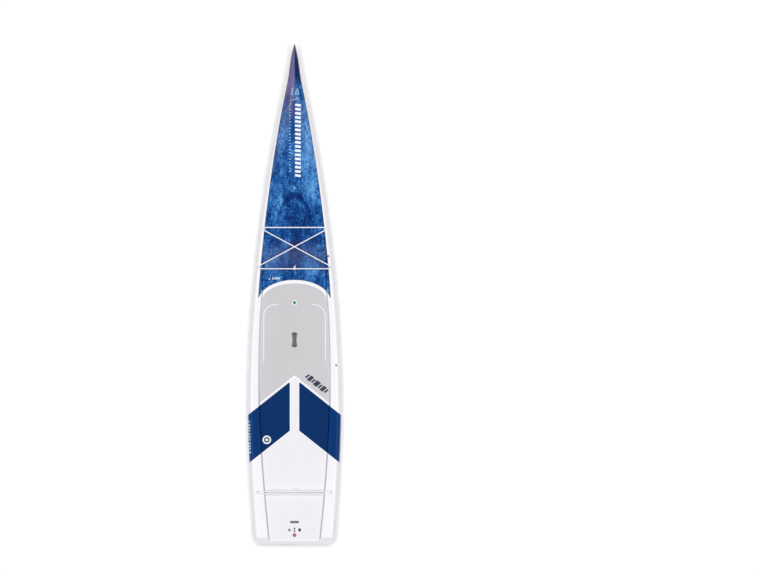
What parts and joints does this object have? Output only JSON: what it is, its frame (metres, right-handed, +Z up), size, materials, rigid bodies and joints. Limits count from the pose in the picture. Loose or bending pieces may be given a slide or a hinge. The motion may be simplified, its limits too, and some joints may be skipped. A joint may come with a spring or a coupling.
{
  "type": "stand up paddleboard",
  "caption": "Long narrow rigid paddleboard with a recessed standing deck, foam deck pads, bungee cargo tie-downs, recessed carry handle, screw air vent, leash plug and fin box.",
  "frame": {"origin": "under the middle of the board, on the flat of the bottom that it rests on", "axes": "+Y to the nose, +X to the rider's right, +Z up out of the deck"},
  "size_m": [0.712, 3.81, 0.179],
  "materials": {
    "laminate": "gloss",
    "core_foam": "matte",
    "stringer_wood": "raw",
    "eva_grey": "textured matte",
    "eva_navy": "textured matte",
    "eva_pale": "textured matte",
    "cup_plastic": "matte",
    "lip_rubber": "matte",
    "vent_plastic": "satin",
    "ring_rubber": "matte",
    "vent_cap_plastic": "satin",
    "membrane": "matte",
    "red_plastic": "satin",
    "stainless": "brushed",
    "black_plastic": "matte",
    "white_plastic": "gloss",
    "bungee_cord": "woven"
  },
  "bodies": {
    "board": {"deck_shell": "laminate", "bottom_shell": "laminate", "foam_core_left": "core_foam", "foam_core_right": "core_foam", "stringer": "stringer_wood", "pad_front": "eva_grey", "pad_band_left": "eva_navy", "pad_band_right": "eva_navy", "pad_tail": "eva_pale", "handle_cup": "cup_plastic", "handle_lip": "lip_rubber", "vent_housing": "vent_plastic", "leash_cup": "red_plastic", "leash_pin": "stainless", "fin_box": "black_plastic", "paddle_insert_fore": "black_plastic", "paddle_insert_aft": "black_plastic", "nose_insert": "white_plastic", "tie_inserts": "black_plastic", "tie_screws": "stainless", "bungee_front": "bungee_cord", "bungee_front_knot": "bungee_cord", "bungee_tail": "bungee_cord", "bungee_tail_knot": "bungee_cord", "tie_post_fore_left": "white_plastic", "tie_post_fore_right": "white_plastic", "tie_post_mid_left": "white_plastic", "tie_post_mid_right": "white_plastic", "tie_post_tail_left": "white_plastic", "tie_post_tail_right": "white_plastic"},
    "vent_lift": {"vent_ring": "ring_rubber"},
    "vent_cap": {"vent_plug": "vent_cap_plastic", "vent_membrane": "membrane"},
    "fin_nut": {"fin_nut_plate": "stainless"}
  },
  "joints": [
    {"name": "vent_lift", "type": "slide", "parent": "board", "child": "vent_lift", "axis": [0, 0, 1], "range_m": [0, 0.0075]},
    {"name": "vent_turn", "type": "hinge", "parent": "vent_lift", "child": "vent_cap", "pos_m": [0, -0.066, 0.127], "axis": [0, 0, 1], "range_deg": [0, 2160]},
    {"name": "fin_nut_slide", "type": "slide", "parent": "board", "child": "fin_nut", "axis": [0, 0.9988, -0.0499], "range_m": [-0.119, 0.119]}
  ],
  "couplings": [
    {"joint": "vent_turn", "follows": "vent_lift", "rad_per_m": 5026.5}
  ]
}
